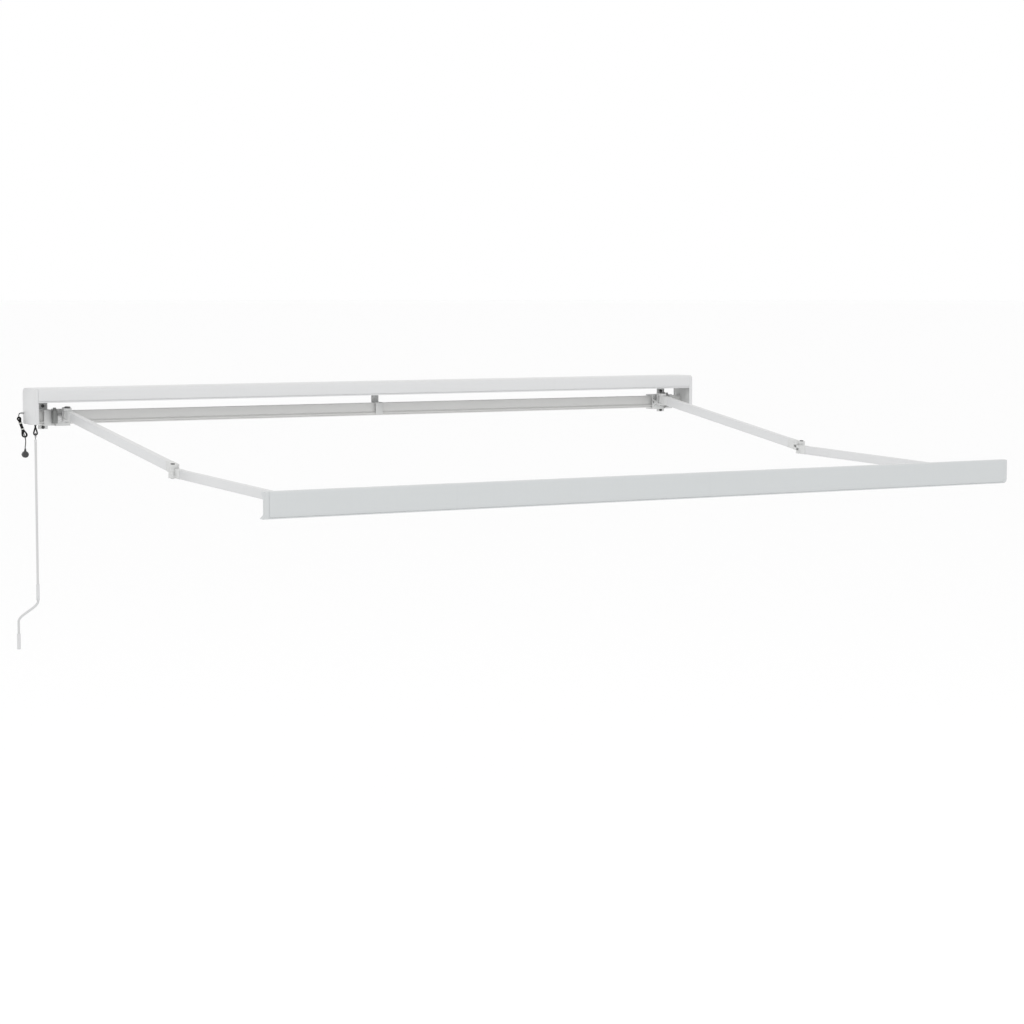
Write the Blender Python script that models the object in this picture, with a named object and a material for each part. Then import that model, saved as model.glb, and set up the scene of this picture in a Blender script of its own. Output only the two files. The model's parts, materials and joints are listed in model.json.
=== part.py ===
"""Folding-arm awning frame, 4 m wide and 3 m deep when open, fitted without its cloth.

Frame: X runs along the width with 0 at mid-width, the wall is the plane y = 0, the awning
reaches towards -Y, and z = 0 is the middle of the torsion bar.  Everything is in metres.
The arms turn about pins that stand square to one tilted fold plane; they are drawn in that
plane's own frame (x, y, w), with y running back to the wall and w along the pins.
"""
import math

import bpy
import bmesh
from mathutils import Matrix, Vector

# ---------------------------------------------------------------- driving dimensions
GAP = 0.0003                    # clearance between pieces that touch

CAP_X = 2.000                   # outer face of the hood's end caps
CAP_RIM = 0.020                 # width of their rim
CAP_WALL = 0.003
HOOD_FRONT = -0.177
HOOD_TOP = 0.152
HOOD_BOTTOM = 0.0795            # lower edge of the hood's front
CAP_BOTTOM = -0.030
SHEET = 0.002                   # hood sheet thickness

BAR_BACK = -0.030               # torsion bar section
BAR_FRONT = -0.074
BAR_LIP = -0.084
BAR_HALF = 0.034
BAR_WALL = 0.003
BAR_END = 1.9857

BRACKET_X = (1.870, 1.920)      # wall brackets
BRACKET_Z = (-0.061, 0.0755)
BRACKET_ARM = 0.0062            # thickness of the arms round the bar
BOLT_Z = (-0.0512, 0.0580)

ROLLER_Y, ROLLER_Z, ROLLER_R = -0.092, 0.110, 0.030
ROLLER_END = 1.957
PLATE_X = (1.9860, 1.9910)      # roller bearing plates

PIN_X = 1.815                   # shoulder, elbow and wrist pins
SHOULDER = Vector((0.0, -0.140, 0.016))
WRIST = Vector((0.0, -2.820, -0.2431))
TILT = math.atan2(SHOULDER.z - WRIST.z, SHOULDER.y - WRIST.y)
ARM = (SHOULDER - WRIST).length / 2          # length of the upper arm and of the forearm
ELBOW_IN = 0.0175               # arm centre lines lie this far inside the elbow pin
UPPER_DROP = 0.0692             # elbow end of the upper arm below the fold plane
FORE_DROP = 0.0880              # elbow end of the forearm below it
UPPER_HALF = (0.016, 0.024)     # half width and half height of the arm tubes
FORE_HALF = (0.015, 0.022)
KNUCKLE_R = 0.019
SOCKET = 0.076                  # where the tubes end, from the pins
PITCH_Y, PITCH_Z = -0.106, 0.0  # axis about which the arms' pitch is set

BEAM_FRONT = -2.890             # front bar
BEAM_TOP, BEAM_BOTTOM = -0.185, -0.3025
BEAM_BACK = -2.850
BEAM_LIP = -2.836
BEAM_END = 1.992
BEAM_CAP = 0.019
BEAM_WALL = 0.0025
BEAM_NOSE = 0.024               # radius of its lower front edge

CRANK_X, CRANK_Y = -1.971, -0.100
EYE_TOP, EYE_BOTTOM = -0.036, -0.087
HOOK_Z = EYE_BOTTOM + 0.003     # the hook turns about the middle of the eye's lower bar
ROD_R = 0.00625
ROD_TOP, BEND_TOP, BEND_END, ROD_END = -0.110, -0.930, -1.0285, -1.168
HANDLE_X = -2.076
SLEEVE_Z = (-0.926, -0.844)
GRIP_Z = (-1.170, -1.090)

CABLE_Y = -0.030                # the hank hangs in this plane
EXIT = Vector((-CAP_X, -0.014, 0.024))
HANK_TOP = Vector((-2.036, CABLE_Y, 0.008))
HANK_BOTTOM = Vector((-1.998, CABLE_Y, -0.100))
HANK_HALF = ((0.0, 0.0104), (0.0104, 0.0104), (0.020, 0.0078), (0.028, 0.0057), (0.068, 0.0057),
             (0.080, 0.0082), (0.092, 0.0122), (0.101, 0.0138))    # along the hank, half width
HANK_DEPTH = 0.0248
TIE_AT = 0.30                   # share of the hank's length above its tie
CABLE_R = 0.0024
PLUG = Vector((-2.004, CABLE_Y - 0.008, -0.1855))
PLUG_R, PLUG_DEPTH = 0.0180, 0.020

# ---------------------------------------------------------------- materials
PAINT = dict(colour=(0.80, 0.81, 0.82), roughness=0.38, metallic=0.0)
CAST = dict(colour=(0.74, 0.75, 0.76), roughness=0.45, metallic=0.0)
BAR_PAINT = dict(colour=(0.60, 0.61, 0.60), roughness=0.42, metallic=0.0)
INNER_GREY = dict(colour=(0.36, 0.37, 0.37), roughness=0.6, metallic=0.0)
DARK_STEEL = dict(colour=(0.09, 0.09, 0.09), roughness=0.45, metallic=0.6)
ZINC = dict(colour=(0.55, 0.56, 0.57), roughness=0.4, metallic=0.9)
BLACK = dict(colour=(0.012, 0.012, 0.013), roughness=0.5, metallic=0.0)
TIE = dict(colour=(0.62, 0.62, 0.60), roughness=0.5, metallic=0.0)


def clear_scene():
    for obj in list(bpy.data.objects):
        bpy.data.objects.remove(obj, do_unlink=True)


def paint(obj, look):
    """Give the object a material of its own."""
    mat = bpy.data.materials.new(obj.name)
    mat.use_nodes = True
    shader = mat.node_tree.nodes["Principled BSDF"]
    shader.inputs["Base Color"].default_value = (*look["colour"], 1.0)
    shader.inputs["Roughness"].default_value = look["roughness"]
    shader.inputs["Metallic"].default_value = look["metallic"]
    obj.data.materials.clear()
    obj.data.materials.append(mat)


# ---------------------------------------------------------------- outlines
def fillet(corners, closed=True, segments=4):
    """Points through corners (a, b, radius), each corner rounded by its own radius."""
    points = []
    count = len(corners)
    for i, (a, b, radius) in enumerate(corners):
        here = Vector((a, b))
        at_end = not closed and i in (0, count - 1)
        if radius <= 0 or at_end:
            points.append(here)
            continue
        back = (Vector(corners[i - 1][:2]) - here).normalized()
        ahead = (Vector(corners[(i + 1) % count][:2]) - here).normalized()
        half = back.angle(ahead) / 2
        centre = here + (back + ahead).normalized() * (radius / math.sin(half))
        start = here + back * (radius / math.tan(half)) - centre
        end = here + ahead * (radius / math.tan(half)) - centre
        turn = start.angle_signed(end)
        for k in range(segments + 1):
            points.append(centre + Matrix.Rotation(-turn * k / segments, 2) @ start)
    return points


def circle(radius, sides=16, centre=(0.0, 0.0)):
    return [Vector((centre[0] + radius * math.cos(2 * math.pi * k / sides),
                    centre[1] + radius * math.sin(2 * math.pi * k / sides)))
            for k in range(sides)]


def rectangle(a0, a1, b0, b1):
    return [Vector((a0, b0)), Vector((a1, b0)), Vector((a1, b1)), Vector((a0, b1))]


def rounded_box(half_a, half_b, radius, segments=3):
    corners = [(-half_a, -half_b), (half_a, -half_b), (half_a, half_b), (-half_a, half_b)]
    return fillet([(a, b, radius) for a, b in corners], segments=segments)


def offset(points, distance, closed):
    """Move a run of points sideways, with mitred corners."""
    moved = []
    count = len(points)
    for i, here in enumerate(points):
        sides = []
        if closed or i > 0:
            sides.append(here - points[i - 1])
        if closed or i < count - 1:
            sides.append(points[(i + 1) % count] - here)
        normals = [Vector((-s.y, s.x)).normalized() for s in sides]
        mean = sum(normals, Vector((0.0, 0.0))).normalized()
        moved.append(here + mean * (distance / mean.dot(normals[0])))
    return moved


def inset(points, distance):
    """Closed outline moved inwards all round, whichever way it runs."""
    area = sum(a.x * b.y - b.x * a.y for a, b in zip(points, points[1:] + points[:1]))
    return offset(points, math.copysign(distance, area), True)


def strip(path, thickness):
    """Closed outline of a sheet of even thickness that follows an open path."""
    return offset(path, thickness / 2, False) + offset(path, -thickness / 2, False)[::-1]


# ---------------------------------------------------------------- solids
def spread(points, axis, level):
    """Put outline points on the plane at this level along the axis."""
    if axis == "X":
        return [Vector((level, p.x, p.y)) for p in points]
    if axis == "Y":
        return [Vector((p.x, level, p.y)) for p in points]
    return [Vector((p.x, p.y, level)) for p in points]


def loft(loops):
    """Closed skin through loops of equally many points, capped at both ends."""
    bm = bmesh.new()
    rings = [[bm.verts.new(p) for p in loop] for loop in loops]
    for low, high in zip(rings, rings[1:]):
        for k in range(len(low)):
            nxt = (k + 1) % len(low)
            bm.faces.new((low[k], low[nxt], high[nxt], high[k]))
    bm.faces.new(rings[0][::-1])
    bm.faces.new(rings[-1])
    bmesh.ops.recalc_face_normals(bm, faces=bm.faces)
    return bm


def pipe(outer, inner):
    """Closed skin of a tube: matching outer and inner loops, with flat ring ends."""
    bm = bmesh.new()
    out = [[bm.verts.new(p) for p in loop] for loop in outer]
    ins = [[bm.verts.new(p) for p in loop] for loop in inner]
    for rings in (out, ins):
        for low, high in zip(rings, rings[1:]):
            for k in range(len(low)):
                nxt = (k + 1) % len(low)
                bm.faces.new((low[k], low[nxt], high[nxt], high[k]))
    for a, b in ((out[0], ins[0]), (out[-1], ins[-1])):
        for k in range(len(a)):
            nxt = (k + 1) % len(a)
            bm.faces.new((a[k], a[nxt], b[nxt], b[k]))
    bmesh.ops.recalc_face_normals(bm, faces=bm.faces)
    return bm


def prism(points, axis, low, high):
    return loft([spread(points, axis, low), spread(points, axis, high)])


def tube(outer, inner, axis, low, high):
    return pipe([spread(outer, axis, low), spread(outer, axis, high)],
                [spread(inner, axis, low), spread(inner, axis, high)])


def object_from(bm, name):
    mesh = bpy.data.meshes.new(name)
    bm.to_mesh(mesh)
    bm.free()
    obj = bpy.data.objects.new(name, mesh)
    bpy.context.scene.collection.objects.link(obj)
    return obj


def combine(obj, shapes, operation):
    """Union the shapes with the object, or cut them from it."""
    for shape in shapes:
        tool = object_from(shape, "tool")
        boolean = obj.modifiers.new(operation.lower(), "BOOLEAN")
        boolean.operation = operation
        boolean.solver = "EXACT"
        boolean.object = tool
        graph = bpy.context.evaluated_depsgraph_get()
        result = bpy.data.meshes.new_from_object(obj.evaluated_get(graph))
        obj.modifiers.clear()
        obj.data = result
        bpy.data.objects.remove(tool, do_unlink=True)


def piece(name, body, look, add=(), cut=(), frame=Matrix(), origin=(0.0, 0.0, 0.0)):
    """One finished sub-part: drawn in the frame's coordinates, its origin at this point."""
    obj = object_from(body, name)
    combine(obj, add, "UNION")
    combine(obj, cut, "DIFFERENCE")
    origin = Vector(origin)
    obj.data.transform(Matrix.Translation(-origin))
    obj.matrix_world = frame @ Matrix.Translation(origin)
    obj.data.shade_smooth()
    obj.data.set_sharp_from_angle(angle=math.radians(32))
    paint(obj, look)
    return obj


def cord(name, points, radius, look, resolution=3):
    """A round wire, tube or cable through the points."""
    curve = bpy.data.curves.new(name, "CURVE")
    curve.dimensions = "3D"
    spline = curve.splines.new("POLY")
    spline.points.add(len(points) - 1)
    for target, p in zip(spline.points, points):
        target.co = (*p, 1.0)
    curve.bevel_depth = radius
    curve.bevel_resolution = resolution
    curve.use_fill_caps = True
    obj = bpy.data.objects.new(name, curve)
    bpy.context.scene.collection.objects.link(obj)
    paint(obj, look)
    return obj


def smooth_route(stops, spacing):
    """Evenly spread points on a smooth curve through the stops."""
    points = []
    last = len(stops) - 1
    for i in range(last):
        before, a, b, after = stops[max(i - 1, 0)], stops[i], stops[i + 1], stops[min(i + 2, last)]
        steps = max(2, round((b - a).length / spacing))
        for k in range(steps):
            t = k / steps
            points.append(0.5 * (2 * a + (b - before) * t
                                 + (2 * before - 5 * a + 4 * b - after) * t * t
                                 + (3 * a - before - 3 * b + after) * t ** 3))
    return points + [stops[-1]]


def sided(side, low, high):
    """An X range given for the right side, mirrored for the left one."""
    return (low, high) if side > 0 else (-high, -low)


# ---------------------------------------------------------------- what stays on the wall
def bar_outline():
    corners = [(BAR_BACK, -BAR_HALF, 0.003), (BAR_BACK, BAR_HALF, 0.003),
               (BAR_FRONT, BAR_HALF, 0.002), (BAR_FRONT, -0.012, 0.0),
               (BAR_LIP, -0.021, 0.001), (BAR_LIP, -0.026, 0.001),
               (BAR_LIP + 0.006, -BAR_HALF, 0.002)]
    return fillet(corners, segments=2)


def make_torsion_bar():
    outer = bar_outline()
    inner = inset(outer, BAR_WALL)
    piece("torsion_bar", tube(outer, inner, "X", -BAR_END, BAR_END), BAR_PAINT)


def make_wall_bracket(side, label):
    reach = BAR_LIP - 2 * GAP / 3
    arm = BAR_HALF + GAP
    low, high = BRACKET_Z
    plate = -0.006
    back = BAR_BACK + GAP
    outline = fillet([
        (0.0, low, 0.0), (0.0, high, 0.0), (plate, high, 0.002),
        (plate, arm + BRACKET_ARM, 0.004), (reach, arm + BRACKET_ARM, 0.002),
        (reach, arm, 0.0), (back, arm, 0.0), (back, -arm, 0.0), (reach, -arm, 0.0),
        (reach, -arm - BRACKET_ARM, 0.002), (plate, -arm - BRACKET_ARM, 0.004),
        (plate, low, 0.002)], segments=3)
    centre = side * sum(BRACKET_X) / 2
    holes = [prism(circle(0.0053, 16, (centre, z)), "Y", -0.02, 0.01) for z in BOLT_Z]
    piece("wall_bracket_" + label, prism(outline, "X", *sided(side, *BRACKET_X)), CAST, cut=holes)

    keeper = fillet([(reach - GAP, -arm - BRACKET_ARM, 0.001),
                     (reach - GAP, arm + BRACKET_ARM, 0.001),
                     (reach - 0.0045, arm + BRACKET_ARM, 0.0015),
                     (reach - 0.0045, -arm - BRACKET_ARM, 0.0015)], segments=2)
    piece("bracket_keeper_" + label, prism(keeper, "X", *sided(side, *BRACKET_X)), CAST)

    for z, level in zip(BOLT_Z, ("lower", "upper")):
        shank = prism(circle(0.0050, 16, (centre, z)), "Y", plate - 0.002, -0.0005)
        flange = prism(circle(0.0078, 20, (centre, z)), "Y", plate - 0.0023, plate - GAP)
        head = prism(circle(0.0066, 6, (centre, z)), "Y", plate - 0.0085, plate - 0.002)
        piece(f"wall_bolt_{label}_{level}", head, DARK_STEEL, add=[flange, shank])


def make_hood():
    half = SHEET / 2
    path = fillet([(-0.004, 0.118, 0), (-0.004, HOOD_TOP - half, 0.006),
                   (HOOD_FRONT + half, HOOD_TOP - half, 0.018),
                   (HOOD_FRONT + half, HOOD_BOTTOM + half, 0.0025),
                   (HOOD_FRONT + 0.011, HOOD_BOTTOM + half, 0)], closed=False, segments=6)
    edge = CAP_X - CAP_RIM - GAP
    piece("hood_cover", prism(strip(path, SHEET), "X", -edge, edge), PAINT)


def make_end_cap(side, label):
    outer = fillet([(HOOD_FRONT, CAP_BOTTOM, 0.008), (HOOD_FRONT, HOOD_TOP, 0.019),
                    (0.0, HOOD_TOP, 0.030), (0.0, CAP_BOTTOM, 0.012)], segments=6)
    inner = inset(outer, CAP_WALL)
    shell = prism(outer, "X", *sided(side, CAP_X - CAP_RIM, CAP_X))
    hollow = prism(inner, "X", *sided(side, CAP_X - CAP_RIM - 0.01, CAP_X - CAP_WALL))
    notch = prism(rectangle(-0.020, 0.010, CAP_BOTTOM + 0.02, 0.110), "X",
                  *sided(side, CAP_X - CAP_RIM - 0.01, CAP_X - 0.011))
    bar_gap = prism(rectangle(BAR_LIP - 0.001, BAR_BACK + 0.001, CAP_BOTTOM - 0.01, CAP_BOTTOM + 0.01),
                    "X", *sided(side, CAP_X - CAP_RIM - 0.01, CAP_X - 0.011))
    piece("end_cap_" + label, shell, PAINT, cut=[hollow, notch, bar_gap])


def make_roller_plate(side, label):
    outline = fillet([(HOOD_FRONT + 0.0055, CAP_BOTTOM + 0.0045, 0.006),
                      (HOOD_FRONT + 0.0055, HOOD_TOP - 0.0045, 0.016),
                      (-0.0140, HOOD_TOP - 0.0045, 0.022),
                      (-0.0140, CAP_BOTTOM + 0.0045, 0.008)], segments=4)
    bearing = prism(circle(0.0064, 20, (ROLLER_Y, ROLLER_Z)), "X",
                    *sided(side, PLATE_X[0] - 0.01, PLATE_X[1] + 0.01))
    cut = [bearing] if side > 0 else []
    piece("roller_bracket_" + label, prism(outline, "X", *sided(side, *PLATE_X)), INNER_GREY, cut=cut)


def make_hood_support():
    """Strap bent over the bar and up behind the roller to the top of the hood."""
    half = 0.0015
    front = BAR_LIP - GAP - half
    top = BAR_HALF + GAP + half
    hood = HOOD_TOP - SHEET - GAP - half
    path = fillet([(front, -0.030, 0), (front, top, 0.003), (-0.034, top, 0.004),
                   (-0.034, hood, 0.008), (-0.120, hood, 0)], closed=False, segments=4)
    piece("hood_support", prism(strip(path, 2 * half), "X", -0.022, 0.022), CAST)


# ---------------------------------------------------------------- roller, motor and gear
def make_roller():
    centre = (ROLLER_Y, ROLLER_Z)
    origin = (0.0, ROLLER_Y, ROLLER_Z)
    body = tube(circle(ROLLER_R, 28, centre), circle(ROLLER_R - 0.0015, 28, centre),
                "X", -ROLLER_END, ROLLER_END)
    piece("roller_tube", body, ZINC, origin=origin)
    plug = prism(circle(ROLLER_R - 0.0018, 28, centre), "X", ROLLER_END - 0.028, ROLLER_END - 0.0005)
    journal = prism(circle(0.0060, 16, centre), "X", ROLLER_END - 0.002, PLATE_X[1] + 0.0002)
    piece("roller_end_plug", plug, BLACK, add=[journal], origin=origin)


def make_motor_head():
    """Tubular motor: its barrel runs inside the roller, its head holds the hand gear."""
    centre = (ROLLER_Y, ROLLER_Z)
    wall = -PLATE_X[0] + GAP
    barrel = prism(circle(0.0225, 20, centre), "X", wall, -1.40)
    collar = prism(circle(0.0275, 24, centre), "X", wall, -ROLLER_END - 0.002)
    gear = prism(fillet([(-0.1240, -0.026, 0.005), (-0.1240, 0.100, 0.004), (-0.0862, 0.100, 0.004),
                         (-0.0862, -0.026, 0.004)], segments=3), "X", wall, -ROLLER_END - 0.001)
    socket = prism(circle(0.0048, 16, (CRANK_X, CRANK_Y)), "Z", -0.05, -0.010)
    piece("motor_head", collar, INNER_GREY, add=[barrel, gear], cut=[socket])


def drop_outline(width, height, top, inset):
    """Tear drop hanging from its point: the outline, moved inwards by the inset."""
    points = []
    radius = width / 2 - inset
    centre = top - height + width / 2
    apex = top - inset * 2.4
    lean = math.asin(radius / (apex - centre))
    steps = 18
    start, end = math.pi - lean, 2 * math.pi + lean
    for k in range(steps + 1):
        angle = start + (end - start) * k / steps
        points.append(Vector((CRANK_X + radius * math.cos(angle), centre + radius * math.sin(angle))))
    points.append(Vector((CRANK_X, apex)))
    return points


def make_gear_eye():
    thick = 0.003
    outer = drop_outline(0.027, EYE_TOP - EYE_BOTTOM, EYE_TOP, 0.0)
    inner = drop_outline(0.027, EYE_TOP - EYE_BOTTOM, EYE_TOP, 2 * thick)
    ring = tube(outer, inner, "Y", CRANK_Y - thick, CRANK_Y + thick)
    stem = prism(circle(0.0044, 16, (CRANK_X, CRANK_Y)), "Z", EYE_TOP - 0.008, -0.0105)
    piece("gear_eye", ring, BLACK, add=[stem], origin=(CRANK_X, CRANK_Y, EYE_TOP))


# ---------------------------------------------------------------- crank
def make_crank():
    bend = 0.0075
    hook = [Vector((CRANK_X, CRANK_Y, ROD_TOP + GAP)),
            Vector((CRANK_X, CRANK_Y, ROD_TOP + 0.003)),
            Vector((CRANK_X, CRANK_Y + 0.0015, ROD_TOP + 0.007)),
            Vector((CRANK_X, CRANK_Y + 0.0060, HOOK_Z - 0.011))]
    for k in range(15):
        angle = math.pi * k / 14
        hook.append(Vector((CRANK_X, CRANK_Y + bend * math.cos(angle), HOOK_Z + bend * math.sin(angle))))
    hook += [Vector((CRANK_X, CRANK_Y - bend, HOOK_Z - 0.008)),
             Vector((CRANK_X, CRANK_Y - bend - 0.0015, HOOK_Z - 0.012))]
    cord("crank_hook", hook, 0.0020, ZINC, resolution=2)

    rod = [Vector((CRANK_X, CRANK_Y, ROD_TOP)), Vector((CRANK_X, CRANK_Y, BEND_TOP + 0.01))]
    steps = 14
    for k in range(steps + 1):
        t = k / steps
        rod.append(Vector((CRANK_X + (HANDLE_X - CRANK_X) * (1 - math.cos(math.pi * t)) / 2, CRANK_Y,
                           BEND_TOP + (BEND_END - BEND_TOP) * t)))
    rod += [Vector((HANDLE_X, CRANK_Y, BEND_END - 0.01)), Vector((HANDLE_X, CRANK_Y, ROD_END))]
    cord("crank_rod", rod, ROD_R, PAINT, resolution=4)

    for name, x, span, radius in (("crank_sleeve", CRANK_X, SLEEVE_Z, 0.0088),
                                  ("crank_grip", HANDLE_X, GRIP_Z, 0.0095)):
        centre = (x, CRANK_Y)
        body = tube(circle(radius, 20, centre), circle(ROD_R + 0.0005, 20, centre), "Z", *span)
        piece(name, body, PAINT, origin=(x, CRANK_Y, span[0]))


# ---------------------------------------------------------------- power cable
def make_cable():
    gland = EXIT.x - 0.010
    piece("cable_gland", prism(circle(0.0055, 16, (EXIT.y, EXIT.z)), "X", gland, EXIT.x - GAP), BLACK)

    lean = HANK_BOTTOM - HANK_TOP
    along = lean.normalized()
    across = Vector((along.z, 0.0, -along.x))
    start = HANK_TOP - along * 2 * GAP + Vector((0.0, 0.0090, 0.0))
    stops = [Vector((gland - GAP, EXIT.y, EXIT.z)), Vector((gland - 0.006, EXIT.y, EXIT.z)),
             Vector((gland - 0.012, EXIT.y - 0.0010, EXIT.z + 0.0003)),
             Vector((gland - 0.0190, EXIT.y - 0.0035, EXIT.z - 0.0018)),
             start - along * 0.010, start - along * 0.005, start]
    cord("power_cable", smooth_route(stops, 0.004), CABLE_R, BLACK, resolution=2)

    frame = Matrix((
        (across.x, 0.0, along.x, HANK_TOP.x),
        (0.0, 1.0, 0.0, HANK_TOP.y),
        (across.z, 0.0, along.z, HANK_TOP.z),
        (0.0, 0.0, 0.0, 1.0)))
    length = lean.length
    turns = [(-half, at, half * 0.95 if at == 0 else 0.004) for at, half in HANK_HALF]
    outline = turns + [(-0.0138, length, 0.0125), (0.0138, length, 0.0125)]
    outline += [(-half, at, radius) for half, at, radius in turns[::-1]]
    hank = prism(fillet(outline, segments=4), "Y", -HANK_DEPTH / 2, HANK_DEPTH / 2)
    piece("cable_hank", hank, BLACK, frame=frame)
    waist = HANK_HALF[3][1]
    outer = rounded_box(waist + 0.0018, HANK_DEPTH / 2 + 0.0018, 0.0015)
    inner = rounded_box(waist + GAP, HANK_DEPTH / 2 + GAP, 0.0002)
    middle = TIE_AT * length
    piece("cable_tie", tube(outer, inner, "Z", middle - 0.003, middle + 0.003), TIE, frame=frame)

    end = HANK_BOTTOM + along * 3 * GAP + across * 0.0050 + Vector((0.0, -0.0085, 0.0))
    top = PLUG + Vector((0.0, 0.0, PLUG_R + 0.0140))
    stops = [end, end + along * 0.005, Vector((-2.0010, end.y, -0.1165)),
             Vector((-2.0022, end.y, -0.1350)), top + Vector((0.0, 0.0, 0.009)),
             top + Vector((0.0, 0.0, GAP))]
    cord("cable_drop", smooth_route(stops, 0.005), CABLE_R, BLACK, resolution=2)

    disc = prism(circle(PLUG_R, 28, (PLUG.x, PLUG.z)), "Y", PLUG.y - PLUG_DEPTH / 2, PLUG.y + PLUG_DEPTH / 2)
    relief = loft([spread(circle(r, 14, (PLUG.x, PLUG.y)), "Z", top.z - d)
                   for r, d in ((0.0038, 0.0), (0.0050, 0.006), (0.0062, 0.018))])
    pins = [prism(circle(0.0024, 12, (PLUG.x + dx, PLUG.z)), "Y", PLUG.y + PLUG_DEPTH / 2 - 0.001,
                  PLUG.y + PLUG_DEPTH / 2 + 0.019) for dx in (-0.0095, 0.0095)]
    piece("plug", disc, BLACK, add=[relief] + pins)


# ---------------------------------------------------------------- shoulders
def fold_frame():
    """Frame of the fold plane, with its origin level with the shoulder pins."""
    return Matrix.Translation(SHOULDER) @ Matrix.Rotation(TILT, 4, "X")


def make_arm_bracket(side, label):
    """Casting round the torsion bar, with two ears for the pitch pin."""
    arm = BAR_HALF + GAP
    web = BAR_LIP - GAP
    front = web - 0.008
    outline = [Vector(p) for p in ((-0.0225, arm + 0.008), (front, arm + 0.008), (front, -arm - 0.008),
                                   (-0.0225, -arm - 0.008), (-0.0225, -arm), (web, -arm),
                                   (web, arm), (-0.0225, arm))]
    clamp = prism(outline, "X", *sided(side, 1.780, 1.858))
    ears = []
    for low, high in ((1.780, 1.7890), (1.8335, 1.858)):
        ear = [Vector((front + 0.001, 0.024)), Vector((front + 0.001, -0.024)), Vector((PITCH_Y, -0.0135))]
        for k in range(1, 8):
            angle = -math.pi / 2 - math.pi * k / 8
            ear.append(Vector((PITCH_Y + 0.0135 * math.cos(angle), 0.0135 * math.sin(angle))))
        ear.append(Vector((PITCH_Y, 0.0135)))
        ears.append(prism(ear, "X", *sided(side, low, high)))
    bore = prism(circle(0.0053, 16, (PITCH_Y, PITCH_Z)), "X", *sided(side, 1.77, 1.87))
    piece("arm_bracket_" + label, clamp, CAST, add=ears, cut=[bore])

    pin = prism(circle(0.0050, 16, (PITCH_Y, PITCH_Z)), "X", *sided(side, 1.777, 1.860))
    block = prism(fillet([(-0.119, -0.029, 0.003), (-0.119, 0.038, 0.003), (-0.0930, 0.038, 0.003),
                          (-0.0930, -0.029, 0.003)], segments=3), "X", *sided(side, 1.8585, 1.8812))
    screw = prism(circle(0.0085, 6, (side * 1.870, PITCH_Y)), "Z", 0.037, 0.052)
    piece("pitch_adjuster_" + label, block, DARK_STEEL, add=[pin, screw])


def make_arm_fork(side, label, frame):
    """Casting that carries the shoulder pin between two lugs and tips about the pitch pin."""
    x = side * PIN_X
    lug, gape, deep = 0.022, 0.0221, 0.034
    spine = prism(rectangle(x - 0.0175, x + 0.0175, 0.0180, 0.0335), "Z", -deep, deep)
    lugs = []
    for low, high in ((-deep, -gape), (gape, deep)):
        lugs.append(prism(circle(lug, 24, (x, 0.0)), "Z", low, high))
        lugs.append(prism(rectangle(x - 0.0175, x + 0.0175, 0.0, 0.0190), "Z", low, high))
    barrel = prism(circle(0.0112, 20, (PITCH_Y, PITCH_Z)), "X", *sided(side, 1.7895, 1.8330))
    barrel.transform(frame.inverted())
    bore = prism(circle(0.0053, 16, (PITCH_Y, PITCH_Z)), "X", *sided(side, 1.77, 1.85))
    bore.transform(frame.inverted())
    hole = prism(circle(0.0083, 20, (x, 0.0)), "Z", -0.05, 0.05)
    piece("arm_fork_" + label, spine, CAST, add=lugs + [barrel], cut=[bore, hole], frame=frame)

    shank = prism(circle(0.0080, 20, (x, 0.0)), "Z", -0.0375, 0.0360)
    cap = prism(circle(0.0150, 20, (x, 0.0)), "Z", deep + GAP, 0.0412)
    ring = prism(circle(0.0110, 20, (x, 0.0)), "Z", -0.0375, -deep - GAP)
    piece("shoulder_pin_" + label, cap, DARK_STEEL, add=[shank, ring], frame=frame, origin=(x, 0.0, 0.0))


# ---------------------------------------------------------------- arms
def arm_centre(side, distance, drop):
    """Middle of an arm tube at this distance from its outer pin, the shoulder or the wrist."""
    share = distance / ARM
    return side * (PIN_X - ELBOW_IN * share), -drop * share


def arm_loop(side, distance, drop, half, radius, along):
    """Section of an arm at a distance from its outer pin, as a loop at the place along y."""
    cx, cw = arm_centre(side, distance, drop)
    return [Vector((cx + p.x, along, cw + p.y)) for p in rounded_box(half[0], half[1], radius)]


def arm_block(side, spans, drop, half, radius, to_along):
    return loft([arm_loop(side, d, drop, half, radius, to_along(d)) for d in spans])


def make_arm_tube(name, side, drop, half, to_along, frame):
    spans = (SOCKET + GAP, ARM - SOCKET - GAP)
    wall = 0.0025
    inner_half = (half[0] - wall, half[1] - wall)
    outer = [arm_loop(side, d, drop, half, 0.005, to_along(d)) for d in spans]
    inner = [arm_loop(side, d, drop, inner_half, 0.0025, to_along(d)) for d in spans]
    piece(name, pipe(outer, inner), PAINT, frame=frame)


def knuckle(side, levels, to_along):
    """Two of the elbow's four lugs: a round boss about the pin, tied to the arm beside it."""
    x = side * PIN_X
    reach = to_along(ARM - 0.022)
    centre = to_along(ARM)
    inner_side = sorted((x - side * 0.0015, x - side * 0.0330))
    shapes = []
    for low, high in levels:
        shapes.append(prism(circle(KNUCKLE_R, 24, (x, centre)), "Z", low, high))
        shapes.append(prism(rectangle(*inner_side, *sorted((reach, centre))), "Z", low, high))
    return shapes


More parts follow.
